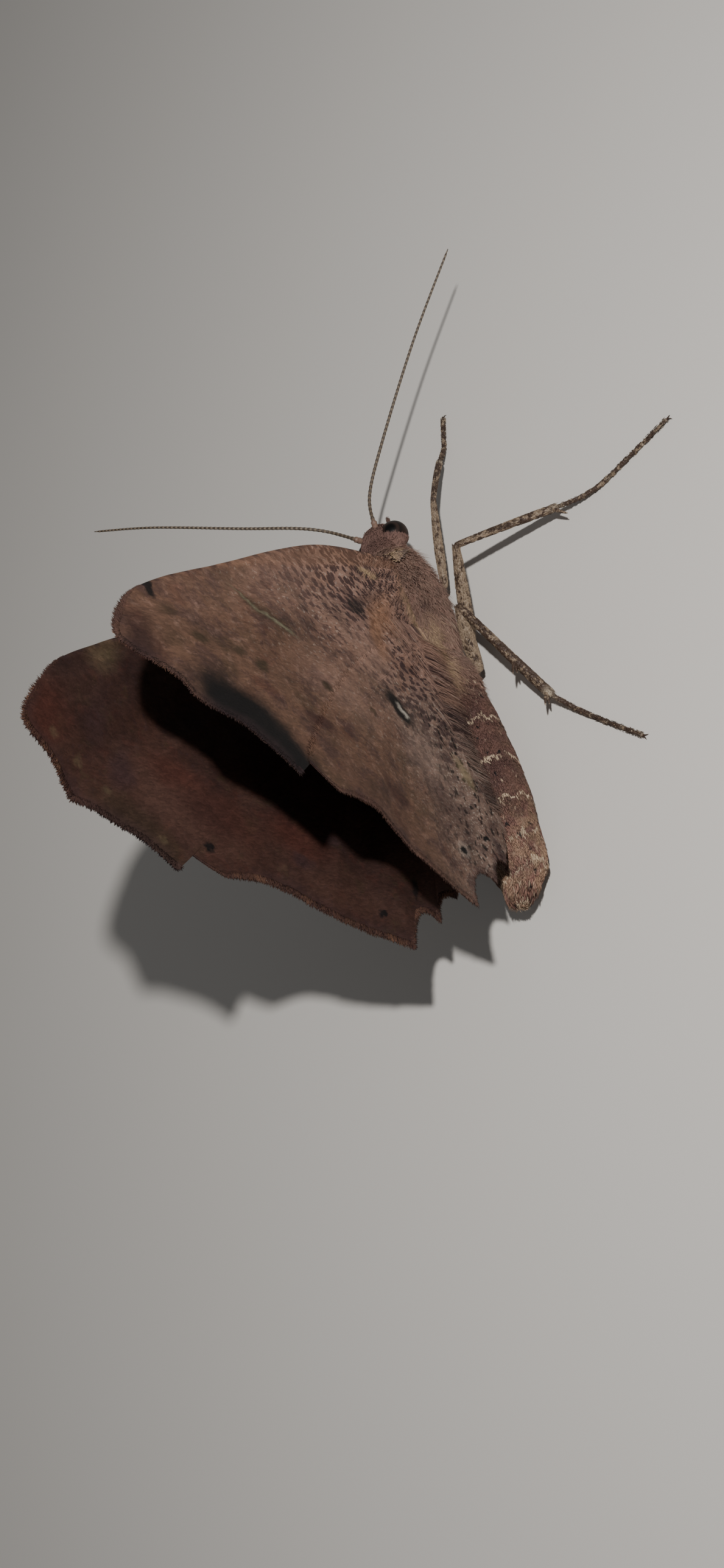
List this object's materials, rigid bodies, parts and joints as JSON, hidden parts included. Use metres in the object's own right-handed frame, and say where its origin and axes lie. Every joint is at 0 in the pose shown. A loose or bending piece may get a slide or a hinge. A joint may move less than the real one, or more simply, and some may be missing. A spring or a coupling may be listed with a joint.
{
  "type": "geometrid moth with raised wings",
  "caption": "Still life-size model of a thorn-like geometrid moth at rest, wings raised over its back, standing on its feet.",
  "frame": {"origin": "middle of the moth's box on the plane of its soles", "axes": "+X the moth's left, +Y towards its tail, +Z its back, away from the surface it stands on"},
  "size_m": [0.0284, 0.03, 0.025],
  "materials": {
    "fur": "matte, furry",
    "abdomen_scales": "matte, scaly",
    "wing_membrane": "matte, scaly",
    "leg_scales": "satin",
    "feeler": "satin",
    "eye": "gloss"
  },
  "bodies": {
    "root": {"head": "fur", "thorax": "fur", "abdomen_front": "abdomen_scales", "abdomen_rear": "abdomen_scales", "eye_right": "eye", "antenna_right": "feeler", "palp_right": "fur", "forewing_right": "wing_membrane", "hindwing_right": "wing_membrane", "foreleg_right_femur": "leg_scales", "foreleg_right_tibia": "leg_scales", "foreleg_right_tarsus": "leg_scales", "midleg_right_femur": "leg_scales", "midleg_right_tibia": "leg_scales", "midleg_right_tarsus": "leg_scales", "hindleg_right_femur": "leg_scales", "hindleg_right_tibia": "leg_scales", "hindleg_right_tarsus": "leg_scales", "eye_left": "eye", "antenna_left": "feeler", "palp_left": "fur", "forewing_left": "wing_membrane", "hindwing_left": "wing_membrane", "foreleg_left_femur": "leg_scales", "foreleg_left_tibia": "leg_scales", "foreleg_left_tarsus": "leg_scales", "midleg_left_femur": "leg_scales", "midleg_left_tibia": "leg_scales", "midleg_left_tarsus": "leg_scales", "hindleg_left_femur": "leg_scales", "hindleg_left_tibia": "leg_scales", "hindleg_left_tarsus": "leg_scales"}
  },
  "joints": []
}
